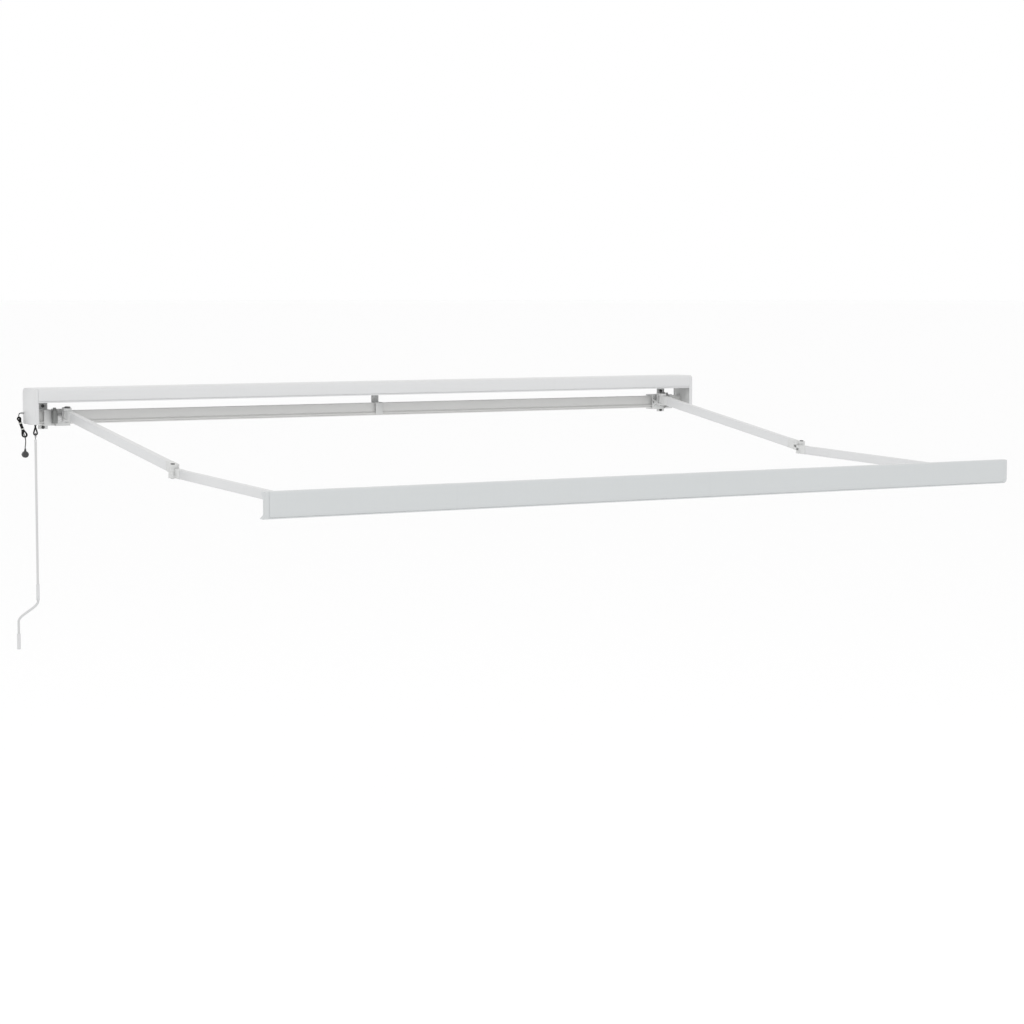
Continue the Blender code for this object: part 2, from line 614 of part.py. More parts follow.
def make_upper_arm(side, label, frame):
    def to_along(distance):
        return -distance

    x = side * PIN_X
    half = (UPPER_HALF[0] + 0.0008, UPPER_HALF[1] + 0.0006)
    shoulder = (x, 0.0, 0.0)
    tongue = [prism(circle(0.0170, 24, (x, 0.0)), "Z", -0.0217, 0.0217),
              prism(rectangle(x - 0.0140, x + 0.0140, -0.0300, 0.0), "Z", -0.0217, 0.0217)]
    hole = prism(circle(0.0083, 20, (x, 0.0)), "Z", -0.05, 0.05)
    root = arm_block(side, (0.0260, SOCKET), UPPER_DROP, half, 0.005, to_along)
    piece("upper_arm_root_" + label, root, CAST, add=tongue, cut=[hole], frame=frame, origin=shoulder)

    make_arm_tube("upper_arm_tube_" + label, side, UPPER_DROP, UPPER_HALF, to_along, frame)

    centre = -UPPER_DROP
    block = arm_block(side, (ARM - SOCKET, ARM - 0.0212), UPPER_DROP, half, 0.005, to_along)
    levels = ((centre + 0.0040, centre + 0.0240), (centre - 0.0240, centre - 0.0100))
    elbow_hole = prism(circle(0.0062, 16, (x, -ARM)), "Z", centre - 0.1, centre + 0.1)
    piece("upper_arm_elbow_" + label, block, CAST, add=knuckle(side, levels, to_along),
          cut=[elbow_hole], frame=frame)

    spring_ends = [spread(circle(0.0095, 12, arm_centre(side, d, UPPER_DROP)), "Y", to_along(d))
                   for d in (0.12, ARM - 0.42)]
    piece("arm_spring_" + label, loft(spring_ends), ZINC, frame=frame)


def make_forearm(side, label, frame):
    def to_along(distance):
        return distance - 2 * ARM

    x = side * PIN_X
    half = (FORE_HALF[0] + 0.0008, FORE_HALF[1] + 0.0006)
    centre = -FORE_DROP
    elbow = (x, -ARM, centre)
    upper_centre = -UPPER_DROP
    block = arm_block(side, (ARM - SOCKET, ARM - 0.0212), FORE_DROP, half, 0.005, to_along)
    levels = ((upper_centre - 0.0097, upper_centre + 0.0037), (upper_centre - 0.0403, upper_centre - 0.0243))
    hole = prism(circle(0.0062, 16, (x, -ARM)), "Z", centre - 0.1, centre + 0.1)
    piece("forearm_elbow_" + label, block, CAST, add=knuckle(side, levels, to_along), cut=[hole],
          frame=frame, origin=elbow)

    shank = prism(circle(0.0059, 16, (x, -ARM)), "Z", upper_centre - 0.0430, upper_centre + 0.0250)
    head = prism(circle(0.0100, 16, (x, -ARM)), "Z", upper_centre + 0.0243, upper_centre + 0.0272)
    washer = prism(circle(0.0085, 16, (x, -ARM)), "Z", upper_centre - 0.0430, upper_centre - 0.0406)
    piece("elbow_pin_" + label, shank, DARK_STEEL, add=[head, washer], frame=frame, origin=elbow)

    make_arm_tube("forearm_tube_" + label, side, FORE_DROP, FORE_HALF, to_along, frame)

    tongue = [prism(circle(0.0155, 24, (x, -2 * ARM)), "Z", -0.0160, 0.0160),
              prism(rectangle(x - 0.0125, x + 0.0125, -2 * ARM, -2 * ARM + 0.0300), "Z", -0.0160, 0.0160)]
    wrist_hole = prism(circle(0.0073, 16, (x, -2 * ARM)), "Z", -0.05, 0.05)
    wrist = arm_block(side, (0.0250, SOCKET), FORE_DROP, half, 0.005, to_along)
    piece("forearm_wrist_" + label, wrist, CAST, add=tongue, cut=[wrist_hole], frame=frame)


# ---------------------------------------------------------------- front bar
def make_front_bar():
    half = BEAM_WALL / 2
    front, top, bottom = BEAM_FRONT + half, BEAM_TOP - half, BEAM_BOTTOM + half
    path = fillet([(BEAM_BACK - half, top - 0.013, 0), (BEAM_BACK - half, top, 0.002),
                   (front, top, 0.006), (front, bottom, BEAM_NOSE - half),
                   (BEAM_LIP - half, bottom, 0.0015), (BEAM_LIP - half, bottom + 0.006, 0)],
                  closed=False, segments=7)
    piece("front_bar", prism(strip(path, BEAM_WALL), "X", -BEAM_END, BEAM_END), PAINT)


def make_front_cap(side, label):
    outline = fillet([(BEAM_BACK, BEAM_TOP, 0.003), (BEAM_FRONT, BEAM_TOP, 0.0075),
                      (BEAM_FRONT, BEAM_BOTTOM, BEAM_NOSE), (BEAM_LIP, BEAM_BOTTOM, 0.001),
                      (BEAM_LIP, BEAM_BOTTOM + 0.004, 0.001), (BEAM_LIP - 0.029, BEAM_BOTTOM + 0.020, 0.010),
                      (BEAM_LIP - 0.030, BEAM_TOP - 0.030, 0.010), (BEAM_BACK, BEAM_TOP - 0.014, 0.003)],
                     segments=7)
    body = prism(outline, "X", *sided(side, BEAM_END + GAP, BEAM_END + BEAM_CAP))
    obj = piece("front_bar_cap_" + label, body, PAINT)
    edge = obj.modifiers.new("soft_edge", "BEVEL")
    edge.width = 0.0012
    edge.segments = 2
    edge.limit_method = "ANGLE"
    edge.angle_limit = math.radians(60)


def make_wrist_bracket(side, label, frame):
    """Block bolted inside the front bar, with two lugs that hold the forearm's tongue."""
    x = side * PIN_X
    y = -2 * ARM
    gape, deep = 0.0163, 0.0260
    block = prism(rectangle(x - 0.024, x + 0.024, y - 0.0630, y - 0.0175), "Z", -deep, deep)
    lugs = []
    for low, high in ((-deep, -gape), (gape, deep)):
        lugs.append(prism(circle(0.0165, 24, (x, y)), "Z", low, high))
        lugs.append(prism(rectangle(x - 0.0160, x + 0.0160, y - 0.0185, y), "Z", low, high))
    hole = prism(circle(0.0073, 16, (x, y)), "Z", -0.05, 0.05)
    piece("wrist_bracket_" + label, block, CAST, add=lugs, cut=[hole], frame=frame, origin=(x, y, 0.0))

    pin_radius = 0.0070 if side < 0 else 0.0066
    shank = prism(circle(pin_radius, 16, (x, y)), "Z", -0.0290, 0.0270)
    head = prism(circle(0.0105, 16, (x, y)), "Z", deep + GAP, 0.0290)
    ring = prism(circle(0.0095, 16, (x, y)), "Z", -0.0290, -deep - GAP)
    piece("wrist_pin_" + label, shank, DARK_STEEL, add=[head, ring], frame=frame, origin=(x, y, 0.0))


def main():
    clear_scene()
    frame = fold_frame()
    make_torsion_bar()
    make_hood()
    make_hood_support()
    make_roller()
    make_motor_head()
    make_gear_eye()
    make_crank()
    make_cable()
    make_front_bar()
    for side, label in ((-1, "left"), (1, "right")):
        make_wall_bracket(side, label)
        make_end_cap(side, label)
        make_roller_plate(side, label)
        make_arm_bracket(side, label)
        make_arm_fork(side, label, frame)
        make_upper_arm(side, label, frame)
        make_forearm(side, label, frame)
        make_front_cap(side, label)
        make_wrist_bracket(side, label, frame)


main()
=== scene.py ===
import json
import math

import bmesh
import bpy
from mathutils import Matrix, Vector


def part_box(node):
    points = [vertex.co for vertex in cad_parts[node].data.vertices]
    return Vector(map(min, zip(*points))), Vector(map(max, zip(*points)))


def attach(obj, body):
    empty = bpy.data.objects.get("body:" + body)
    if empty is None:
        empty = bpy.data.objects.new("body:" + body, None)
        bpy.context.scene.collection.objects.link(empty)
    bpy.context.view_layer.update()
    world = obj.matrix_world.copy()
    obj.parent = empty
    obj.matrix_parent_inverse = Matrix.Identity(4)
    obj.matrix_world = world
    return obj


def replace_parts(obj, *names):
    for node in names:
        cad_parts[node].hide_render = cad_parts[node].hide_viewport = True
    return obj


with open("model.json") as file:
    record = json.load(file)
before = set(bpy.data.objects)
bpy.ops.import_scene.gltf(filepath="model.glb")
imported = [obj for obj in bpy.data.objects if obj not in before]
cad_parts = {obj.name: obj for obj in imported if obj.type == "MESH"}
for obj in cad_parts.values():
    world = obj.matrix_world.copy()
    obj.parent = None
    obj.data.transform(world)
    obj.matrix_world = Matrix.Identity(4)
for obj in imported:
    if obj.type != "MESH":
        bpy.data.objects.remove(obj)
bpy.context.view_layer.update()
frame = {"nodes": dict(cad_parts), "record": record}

BODY = {node: body for body, nodes in frame["record"]["behaviour"]["bodies"].items() for node in nodes}
SLOT = {part["node"]: part["material_slot"] for part in frame["record"]["subparts"]}


# ---------------------------------------------------------------- camera
CAMERA_PLACE = (-6.669, -12.757, 0.661)
CAMERA_YAW, CAMERA_PITCH = 30.65, 4.89      # degrees: from +Y towards +X, and downwards
LENS, SENSOR_WIDTH = 92.41, 36.0            # millimetres
FAR_CLIP = 1000.0


def look_from(place, yaw, pitch, lens):
    """Camera at a place, turned by yaw from +Y towards +X and tipped down by pitch."""
    data = bpy.data.cameras.new("camera")
    data.lens = lens
    data.sensor_width = SENSOR_WIDTH
    data.clip_end = FAR_CLIP
    camera = bpy.data.objects.new("camera", data)
    camera.location = place
    camera.rotation_euler = (math.radians(90.0 - pitch), 0.0, math.radians(-yaw))
    bpy.context.scene.collection.objects.link(camera)
    bpy.context.scene.camera = camera


look_from(CAMERA_PLACE, CAMERA_YAW, CAMERA_PITCH, LENS)


# ---------------------------------------------------------------- finishes
class Value:
    """A number or vector on its way through a finish's nodes; sums on it become Math nodes."""

    def __init__(self, finish, socket):
        self.finish = finish
        self.socket = socket

    def __add__(self, other):
        return self.finish.math("ADD", self, other)

    def __mul__(self, other):
        return self.finish.math("MULTIPLY", self, other)

    __radd__ = __add__
    __rmul__ = __mul__


class Finish:
    """A material on the Principled shader, with its constants set on the shader's own sockets."""

    def __init__(self, name, **constants):
        self.material = bpy.data.materials.new(name)
        self.material.use_nodes = True
        self.tree = self.material.node_tree
        self.shader = self.tree.nodes["Principled BSDF"]
        for name, value in constants.items():
            self.shader.inputs[name.replace("_", " ").title().replace("Ior", "IOR")].default_value = value
        self.place = Value(self, self.node("ShaderNodeTexCoord", {}, {}).outputs["Object"])

    def node(self, kind, settings, inputs):
        """Any node: its settings first, then its sockets, by name or number."""
        made = self.tree.nodes.new(kind)
        for key, value in settings.items():
            setattr(made, key, value)
        for key, value in inputs.items():
            self.feed(made.inputs[key], value)
        return made

    def feed(self, socket, value):
        if isinstance(value, Value):
            self.tree.links.new(value.socket, socket)
        else:
            socket.default_value = value

    def math(self, operation, a, b):
        made = self.node("ShaderNodeMath", {"operation": operation}, {0: a, 1: b})
        return Value(self, made.outputs[0])

    def stretched(self, x, y, z):
        """Place on the piece, scaled per metre along each axis."""
        made = self.node("ShaderNodeMapping", {}, {"Vector": self.place, "Scale": (x, y, z)})
        return Value(self, made.outputs[0])

    def noise(self, where, scale, detail=3.0, roughness=0.5):
        made = self.node("ShaderNodeTexNoise", {},
                         {"Vector": where, "Scale": scale, "Detail": detail, "Roughness": roughness})
        return Value(self, made.outputs["Fac"])

    def cells(self, where, scale):
        made = self.node("ShaderNodeTexVoronoi", {}, {"Vector": where, "Scale": scale})
        return Value(self, made.outputs["Color"])

    def ranged(self, value, low, high, to_low, to_high):
        """Value from low to high turned smoothly into to_low to to_high."""
        made = self.node("ShaderNodeMapRange", {"interpolation_type": "SMOOTHSTEP"},
                         {"Value": value, "From Min": low, "From Max": high,
                          "To Min": to_low, "To Max": to_high})
        return Value(self, made.outputs["Result"])

    def upward(self):
        """1 on faces that look up, 0 on walls and undersides."""
        normal = self.node("ShaderNodeNewGeometry", {}, {}).outputs["Normal"]
        split = self.node("ShaderNodeSeparateXYZ", {}, {"Vector": Value(self, normal)})
        return self.ranged(Value(self, split.outputs["Z"]), 0.15, 0.95, 0.0, 1.0)

    def mix(self, factor, a, b):
        made = self.node("ShaderNodeMix", {"data_type": "RGBA"}, {0: factor, 6: a, 7: b})
        return Value(self, made.outputs[2])

    def bump(self, height, distance, strength=1.0):
        made = self.node("ShaderNodeBump", {}, {"Height": height, "Distance": distance,
                                                "Strength": strength})
        self.feed(self.shader.inputs["Normal"], Value(self, made.outputs["Normal"]))

    def set(self, name, value):
        self.feed(self.shader.inputs[name], value)


def shade(colour, share):
    return (*(min(1.0, c * share) for c in colour), 1.0)


def powder_coat(name, colour, peel=1.0, rough=0.36):
    """Baked powder paint: fine orange peel, faint blotches, thin rain streaks and settled dust."""
    paint = Finish(name, roughness=rough, ior=1.48)
    blotch = paint.noise(paint.place, 5.0, 4.0, 0.6)
    streak = paint.noise(paint.stretched(55.0, 55.0, 2.2), 1.0, 4.0, 0.65)
    grain = paint.noise(paint.place, 260.0, 2.0)
    dirt = paint.ranged(streak, 0.52, 0.78, 0.0, 0.34) + paint.ranged(blotch, 0.48, 0.8, 0.0, 0.22)
    dust = paint.upward() * paint.ranged(paint.noise(paint.place, 38.0, 5.0, 0.7), 0.35, 0.7, 0.15, 0.8)
    base = paint.mix(dirt, shade(colour, 1.0), shade(colour, 0.95))
    base = paint.mix(paint.ranged(grain, 0.4, 0.7, 0.0, 0.5), base, shade(colour, 0.985))
    paint.set("Base Color", paint.mix(dust * 0.30, base, (0.60, 0.585, 0.55, 1.0)))
    paint.set("Roughness", rough + paint.ranged(blotch, 0.3, 0.7, -0.04, 0.05) + dust * 0.12)
    fine = paint.noise(paint.place, 620.0, 2.0, 0.4)
    paint.bump(fine + paint.noise(paint.place, 150.0, 1.0) * 0.5, 0.00016 * peel, 0.5)
    return paint.material


def cast_coat(name, colour):
    """Powder paint over a sand casting: coarser skin, thinner paint, and painted shade that darkens the
    hollows of the pits.
    """
    paint = Finish(name, roughness=0.44, ior=1.48)
    skin = paint.noise(paint.place, 240.0, 4.0, 0.6)
    pits = paint.noise(paint.place, 75.0, 3.0, 0.55)
    # Painted shade: the low places of the pit pattern, which are the hollows of its bump, are darkened.
    base = paint.mix(paint.ranged(pits, 0.38, 0.68, 0.35, 0.0), shade(colour, 1.0), shade(colour, 0.90))
    dust = paint.upward() * paint.ranged(paint.noise(paint.place, 60.0, 4.0), 0.4, 0.7, 0.1, 0.6)
    paint.set("Base Color", paint.mix(dust * 0.35, base, (0.58, 0.57, 0.54, 1.0)))
    paint.set("Roughness", 0.44 + paint.ranged(skin, 0.35, 0.65, -0.05, 0.08))
    paint.bump(skin + pits * 0.7, 0.00045, 0.5)
    return paint.material


def steel(name, colour, rough, scratch=0.25):
    """Plated or blackened steel: fine turning lines, stains and rubbed spots."""
    metal = Finish(name, metallic=0.85, roughness=rough)
    lines = metal.noise(metal.stretched(80.0, 900.0, 900.0), 1.0, 3.0, 0.6)
    stain = metal.noise(metal.place, 45.0, 4.0, 0.65)
    base = metal.mix(metal.ranged(stain, 0.4, 0.75, 0.0, 0.8), shade(colour, 1.0), shade(colour, 0.62))
    metal.set("Base Color", metal.mix(metal.ranged(lines, 0.55, 0.8, 0.0, scratch), base,
                                      shade(colour, 1.6)))
    metal.set("Roughness", rough + metal.ranged(stain, 0.35, 0.7, -0.06, 0.14))
    metal.bump(lines, 0.00008, 0.4)
    return metal.material


def galvanised(name, colour):
    """Hot dipped sheet: soft crystals of slightly different greys."""
    metal = Finish(name, metallic=0.8, roughness=0.42)
    crystal = metal.cells(metal.place, 85.0)
    haze = metal.noise(metal.place, 14.0, 3.0)
    base = metal.mix(metal.ranged(crystal, 0.15, 0.85, 0.0, 1.0), shade(colour, 0.86), shade(colour, 1.08))
    metal.set("Base Color", metal.mix(metal.ranged(haze, 0.4, 0.75, 0.0, 0.5), base, shade(colour, 0.8)))
    metal.set("Roughness", 0.36 + metal.ranged(crystal, 0.2, 0.8, 0.0, 0.14))
    metal.bump(crystal, 0.00004, 0.3)
    return metal.material


def moulding(name, colour, rough=0.5, grain=520.0, lift=1.35, gloss=0.5):
    """Moulded plastic or rubber: spark-eroded grain, and a slight bloom where it is handled."""
    plastic = Finish(name, roughness=rough, ior=1.5, specular_ior_level=gloss)
    skin = plastic.noise(plastic.place, grain, 3.0, 0.55)
    bloom = plastic.noise(plastic.place, 30.0, 4.0, 0.6)
    plastic.set("Base Color", plastic.mix(plastic.ranged(bloom, 0.4, 0.75, 0.0, 0.7),
                                          shade(colour, 1.0), shade(colour, lift)))
    plastic.set("Roughness", rough + plastic.ranged(bloom, 0.35, 0.7, -0.06, 0.08))
    plastic.bump(skin, 0.00012, 0.45)
    return plastic.material


FINISHES = {
    "white_paint": powder_coat("white_powder_coat", (0.68, 0.685, 0.69)),
    "cast_paint": cast_coat("cast_powder_coat", (0.66, 0.665, 0.66)),
    "bar_paint": powder_coat("bar_powder_coat", (0.66, 0.66, 0.65), 1.3, 0.42),
    "crank_plastic": moulding("crank_sleeve_plastic", (0.66, 0.665, 0.67), 0.45, 420.0, 0.93),
    "grey_plastic": moulding("grey_plastic", (0.58, 0.585, 0.58), 0.55, 420.0, 1.06),
    "dark_steel": steel("blackened_steel", (0.10, 0.10, 0.10), 0.42),
    "zinc": galvanised("zinc_plate", (0.56, 0.57, 0.58)),
    "black_plastic": moulding("black_plastic", (0.012, 0.012, 0.013), gloss=0.2),
    "cable_black": moulding("cable_sheath", (0.006, 0.006, 0.006), 0.5, 700.0, gloss=0.12),
    "tie_plastic": moulding("nylon_tie", (0.60, 0.60, 0.57), 0.4, 600.0, 0.9),
}
FRONT_WHITE = powder_coat("front_bar_powder_coat", (0.60, 0.62, 0.625), 0.9, 0.34)
ROD_WHITE = powder_coat("crank_rod_coat", (0.60, 0.605, 0.605), 0.7, 0.40)
PLUG_GREY = moulding("plug_face_plastic", (0.045, 0.045, 0.047), 0.5, 380.0, 1.5)
GLAND_GREY = moulding("gland_plastic", (0.50, 0.505, 0.50), 0.5, 420.0, 0.95)
ADJUSTER_GREY = cast_coat("adjuster_coat", (0.235, 0.24, 0.235))
CAP_GREY = moulding("pin_cap_plastic", (0.11, 0.112, 0.11), 0.5, 420.0, 1.3)
EYE_BLACK = moulding("blackened_forging", (0.010, 0.010, 0.010), 0.5, 300.0, 1.4, gloss=0.15)
# The hood support strap's coat is greyer than the white parts around it: painted shade, for the shade the
# strap lies in under the hood.
STRAP_PAINTED_SHADE = powder_coat("strap_coat_painted_shade", (0.60, 0.605, 0.60), 1.0, 0.42)
HOOK_STEEL = steel("hook_steel", (0.20, 0.20, 0.20), 0.35)
PIN_METAL = steel("plug_pin_nickel", (0.55, 0.55, 0.54), 0.25, 0.1)


# ---------------------------------------------------------------- making pieces
def keep(name, mesh, node, finish=None, body=None):
    """A finished piece at the origin, on the body and finish of its CAD node."""
    obj = bpy.data.objects.new(name, mesh)
    bpy.context.scene.collection.objects.link(obj)
    mesh.materials.clear()
    mesh.materials.append(finish or FINISHES[SLOT[node]])
    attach(obj, body or BODY[node])
    return obj


def with_modifier(mesh, kind, settings, inputs=()):
    """The mesh with one modifier applied, as a plain mesh."""
    obj = bpy.data.objects.new("bench", mesh)
    bpy.context.scene.collection.objects.link(obj)
    modifier = obj.modifiers.new("step", kind)
    for key, value in settings.items():
        setattr(modifier, key, value)
    for name, value in inputs:
        socket = next(item for item in modifier.node_group.interface.items_tree
                      if item.name == name and item.in_out == "INPUT")
        modifier[socket.identifier] = value
    graph = bpy.context.evaluated_depsgraph_get()
    result = bpy.data.meshes.new_from_object(obj.evaluated_get(graph))
    bpy.data.objects.remove(obj, do_unlink=True)
    return result


def whole(node):
    """A copy of a CAD node's mesh with its loose triangles joined into plain faces."""
    mesh = frame["nodes"][node].data.copy()
    bm = bmesh.new()
    bm.from_mesh(mesh)
    bmesh.ops.remove_doubles(bm, verts=bm.verts, dist=2e-6)
    bmesh.ops.dissolve_limit(bm, angle_limit=math.radians(0.6), verts=bm.verts, edges=bm.edges)
    bm.to_mesh(mesh)
    bm.free()
    mesh.shade_smooth()
    return mesh


def eased(node, width, finish=None, limit=34.0):
    """The CAD piece with its edges broken by a small round, as filed and painted metal has."""
    mesh = with_modifier(whole(node), "BEVEL", {
        "width": width, "segments": 2, "limit_method": "ANGLE", "angle_limit": math.radians(limit),
        "harden_normals": True, "use_clamp_overlap": True})
    piece = keep(node + "_finished", mesh, node, finish)
    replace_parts(piece, node)
    return piece


def coat(node, finish):
    """The CAD piece as it is, in this finish."""
    materials = frame["nodes"][node].data.materials
    materials.clear()
    materials.append(finish)


# ---------------------------------------------------------------- node trees for repeated shapes
class Making:
    """A tree that makes a shape from its named sizes and ends realised, with its material."""

    def __init__(self, name, sizes):
        self.tree = bpy.data.node_groups.new(name, "GeometryNodeTree")
        face = self.tree.interface
        face.new_socket("Geometry", in_out="INPUT", socket_type="NodeSocketGeometry")
        for label, kind, value in sizes:
            socket = face.new_socket(label, in_out="INPUT", socket_type="NodeSocket" + kind)
            if value is not None:
                socket.default_value = value
        face.new_socket("Material", in_out="INPUT", socket_type="NodeSocketMaterial")
        face.new_socket("Geometry", in_out="OUTPUT", socket_type="NodeSocketGeometry")
        self.size = self.tree.nodes.new("NodeGroupInput").outputs

    def node(self, kind, settings, inputs):
        """Any node: its settings first, then its sockets, by name or number. Returns its first output."""
        made = self.tree.nodes.new(kind)
        for key, value in settings.items():
            setattr(made, key, value)
        for key, value in inputs.items():
            if isinstance(value, list):
                for link in value:
                    self.tree.links.new(link, made.inputs[key])
            elif isinstance(value, bpy.types.NodeSocket):
                self.tree.links.new(value, made.inputs[key])
            else:
                made.inputs[key].default_value = value
        return made.outputs[0]

    def times(self, a, b):
        return self.node("ShaderNodeMath", {"operation": "MULTIPLY"}, {0: a, 1: b})

    def along(self, axis, value):
        """Vector with this value on one axis."""
        return self.node("ShaderNodeCombineXYZ", {}, {axis: value})

    def moved(self, geometry, offset):
        return self.node("GeometryNodeTransform", {}, {"Geometry": geometry, "Translation": offset})

    def joined(self, *parts):
        return self.node("GeometryNodeJoinGeometry", {}, {0: list(parts)[::-1]})

    def end(self, geometry):
        solid = self.node("GeometryNodeRealizeInstances", {}, {0: geometry})
        shown = self.node("GeometryNodeSetMaterial", {}, {
            "Geometry": solid, "Material": self.size["Material"]})
        self.tree.links.new(shown, self.tree.nodes.new("NodeGroupOutput").inputs[0])
        return self.tree


def screw_tree():
    """Flanged hex screws, one standing on each point."""
    make = Making("hex_screws", [("Radius", "Float", 0.005), ("Height", "Float", 0.005),
                                 ("Turn", "Vector", None)])
    radius, height = make.size["Radius"], make.size["Height"]
    flange = make.node("GeometryNodeMeshCone", {}, {
        "Vertices": 28, "Radius Top": make.times(radius, 1.15), "Radius Bottom": make.times(radius, 1.38),
        "Depth": make.times(height, 0.28)})
    head = make.node("GeometryNodeMeshCylinder", {}, {
        "Vertices": 6, "Radius": radius, "Depth": make.times(height, 0.82)})
    crown = make.node("GeometryNodeMeshCone", {}, {
        "Vertices": 24, "Radius Top": make.times(radius, 0.68), "Radius Bottom": make.times(radius, 0.86),
        "Depth": make.times(height, 0.18)})
    screw = make.joined(flange, make.moved(head, make.along("Z", make.times(height, 0.41))),
                        make.moved(crown, make.along("Z", make.times(height, 0.82))))
    placed = make.node("GeometryNodeInstanceOnPoints", {}, {
        "Points": make.size["Geometry"], "Instance": screw, "Rotation": make.size["Turn"]})
    return make.end(placed)


def rib_tree():
    """Round ribs strung along a tapering sleeve that points up from the first point."""
    make = Making("sleeve_ribs", [("Count", "Int", 5), ("Spacing", "Float", 0.003),
                                  ("Radius", "Float", 0.006), ("Taper", "Float", 0.05),
                                  ("Wire", "Float", 0.0008)])
    line = make.node("GeometryNodeMeshLine", {}, {
        "Count": make.size["Count"], "Offset": make.along("Z", make.size["Spacing"])})
    ring = make.node("GeometryNodeCurvePrimitiveCircle", {}, {
        "Resolution": 28, "Radius": make.size["Radius"]})
    wire = make.node("GeometryNodeCurvePrimitiveCircle", {}, {
        "Resolution": 10, "Radius": make.size["Wire"]})
    rib = make.node("GeometryNodeCurveToMesh", {}, {"Curve": ring, "Profile Curve": wire})
    index = make.node("GeometryNodeInputIndex", {}, {})
    share = make.node("ShaderNodeMath", {"operation": "SUBTRACT"}, {
        0: 1.0, 1: make.times(index, make.size["Taper"])})
    ribs = make.node("GeometryNodeInstanceOnPoints", {}, {"Points": line, "Instance": rib, "Scale": share})
    return make.end(ribs)


def spring_tree():
    """Close-wound tension spring standing on the origin."""
    make = Making("tension_spring", [("Turns", "Float", 100.0), ("Radius", "Float", 0.008),
                                     ("Length", "Float", 0.8), ("Wire", "Float", 0.0014)])
    coil = make.node("GeometryNodeCurveSpiral", {}, {
        "Resolution": 12, "Rotations": make.size["Turns"], "Start Radius": make.size["Radius"],
        "End Radius": make.size["Radius"], "Height": make.size["Length"]})
    wire = make.node("GeometryNodeCurvePrimitiveCircle", {}, {"Resolution": 6, "Radius": make.size["Wire"]})
    body = make.node("GeometryNodeCurveToMesh", {}, {"Curve": coil, "Profile Curve": wire, "Fill Caps": True})
    return make.end(body)


def section_tree():
    """Extrusion: a flat section drawn at x = 0, pulled from Start to End along X."""
    make = Making("extruded_section", [("Start", "Float", -1.0), ("End", "Float", 1.0)])
    first = make.moved(make.size["Geometry"], make.along("X", make.size["Start"]))
    length = make.node("ShaderNodeMath", {"operation": "SUBTRACT"}, {
        0: make.size["End"], 1: make.size["Start"]})
    pulled = make.node("GeometryNodeExtrudeMesh", {"mode": "FACES"}, {
        "Mesh": first, "Offset": make.along("X", 1.0), "Offset Scale": length, "Individual": False})
    back = make.node("GeometryNodeFlipFaces", {}, {"Mesh": first})
    sewn = make.node("GeometryNodeMergeByDistance", {}, {
        "Geometry": make.joined(pulled, back), "Distance": 0.00002})
    return make.end(sewn)


SCREWS = screw_tree()
RIBS = rib_tree()
SPRING = spring_tree()
SECTION = section_tree()


def grown(tree, points, inputs, faces=()):
    """The tree's mesh on these points, with its faces turned outwards."""
    mesh = bpy.data.meshes.new("seed")
    mesh.from_pydata([tuple(p) for p in points], [], list(faces))
    mesh = with_modifier(mesh, "NODES", {"node_group": tree}, inputs)
    bm = bmesh.new()
    bm.from_mesh(mesh)
    bmesh.ops.recalc_face_normals(bm, faces=bm.faces)
    bm.to_mesh(mesh)
    bm.free()
    mesh.shade_smooth()
    mesh.set_sharp_from_angle(angle=math.radians(32))
    return mesh


def rounded(corners, segments=5, closed=True):
    """Points through corners (a, b, radius), each corner rounded by its own radius."""
    points = []
    count = len(corners)
    for i, (a, b, radius) in enumerate(corners):
        here = Vector((a, b))
        if radius <= 0 or (not closed and i in (0, count - 1)):
            points.append(here)
            continue
        back = (Vector(corners[i - 1][:2]) - here).normalized()
        ahead = (Vector(corners[(i + 1) % count][:2]) - here).normalized()
        half = back.angle(ahead) / 2
        centre = here + (back + ahead).normalized() * (radius / math.sin(half))
        start = here + back * (radius / math.tan(half)) - centre
        turn = start.angle_signed(here + ahead * (radius / math.tan(half)) - centre)
        for k in range(segments + 1):
            points.append(centre + Matrix.Rotation(-turn * k / segments, 2) @ start)
    return points


def sheet_section(path, thickness):
    """Closed outline of a wall of even thickness that follows an open path."""
    sides = ([], [])
    for i, here in enumerate(path):
        runs = [b - a for a, b in zip(path[max(i - 1, 0):i + 1], path[max(i, 1):i + 2]) if (b - a).length]
        normals = [Vector((-run.y, run.x)).normalized() for run in runs]
        mean = sum(normals, Vector((0.0, 0.0))).normalized()
        reach = mean * (thickness / 2 / mean.dot(normals[0]))
        sides[0].append(here + reach)
        sides[1].append(here - reach)
    return sides[0] + sides[1][::-1]


def extruded(outline, start, end):
    points = [(0.0, p.x, p.y) for p in outline]
    return grown(SECTION, points, [("Start", start), ("End", end)], [tuple(range(len(points)))])


def turned(profile, frame_of, sides=32):
    """Shape turned about the frame's Z axis from (radius, height) points; ends on the axis close it."""
    bm = bmesh.new()
    rings = []
    for radius, height in profile:
        if radius < 1e-6:
            rings.append([bm.verts.new((0.0, 0.0, height))])
        else:
            rings.append([bm.verts.new((radius * math.cos(2 * math.pi * k / sides),
                                        radius * math.sin(2 * math.pi * k / sides), height))
                          for k in range(sides)])
    for low, high in zip(rings, rings[1:]):
        for k in range(sides):
            nxt = (k + 1) % sides
            quad = [low[k % len(low)], low[nxt % len(low)], high[nxt % len(high)], high[k % len(high)]]
            bm.faces.new(list(dict.fromkeys(quad)))
    bmesh.ops.recalc_face_normals(bm, faces=bm.faces)
    bm.transform(frame_of)
    mesh = bpy.data.meshes.new("turned")
    bm.to_mesh(mesh)
    bm.free()
    mesh.shade_smooth()
    mesh.set_sharp_from_angle(angle=math.radians(38))
    return mesh


